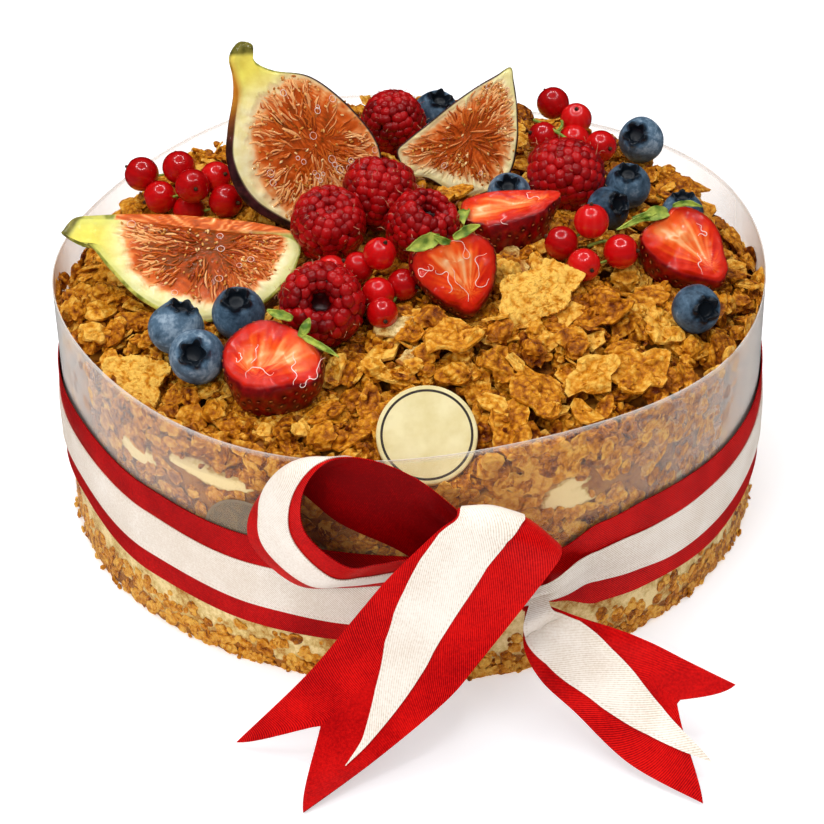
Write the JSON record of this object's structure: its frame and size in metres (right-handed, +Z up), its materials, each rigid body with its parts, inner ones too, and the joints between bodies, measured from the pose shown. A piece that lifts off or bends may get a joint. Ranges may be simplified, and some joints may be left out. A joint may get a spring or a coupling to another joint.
{
  "type": "layer cake",
  "caption": "Round layered pastry cake in a clear film collar, tied with a two-colour ribbon bow and heaped with cut figs and berries.",
  "frame": {"origin": "centre of the cake's flat underside", "axes": "+Z up, -Y towards the bow, +X to the right as seen from the bow"},
  "size_m": [0.2246, 0.276, 0.1444],
  "materials": {
    "crumb": "baked, rough",
    "pale_flake": "baked, rough",
    "clear_film": "clear, glossy",
    "frosted": "frosted sticker",
    "chocolate": "satin",
    "red_satin": "satin weave",
    "white_satin": "satin weave",
    "raspberry": "moist",
    "blueberry": "waxy bloom",
    "strawberry": "glazed",
    "currant": "translucent, glossy",
    "fig": "cut, glazed"
  },
  "bodies": {
    "root": {"blueberry_1": "blueberry", "blueberry_10": "blueberry", "blueberry_2": "blueberry", "blueberry_3": "blueberry", "blueberry_4": "blueberry", "blueberry_5": "blueberry", "blueberry_6": "blueberry", "blueberry_7": "blueberry", "blueberry_8": "blueberry", "blueberry_9": "blueberry", "cake": "crumb", "chocolate_disc": "chocolate", "collar_film": "clear_film", "collar_seal": "frosted", "currants_back": "currant", "currants_left": "currant", "currants_middle": "currant", "currants_right": "currant", "fig_half": "fig", "fig_slice": "fig", "fig_wedge": "fig", "pastry_flake_left": "pale_flake", "pastry_flake_right": "pale_flake", "raspberry_back": "raspberry", "raspberry_far_right": "raspberry", "raspberry_front": "raspberry", "raspberry_left": "raspberry", "raspberry_middle": "raspberry", "raspberry_right": "raspberry", "ribbon_red": "red_satin", "ribbon_white": "white_satin", "strawberry_back": "strawberry", "strawberry_front": "strawberry", "strawberry_middle": "strawberry", "strawberry_right": "strawberry"}
  },
  "joints": []
}
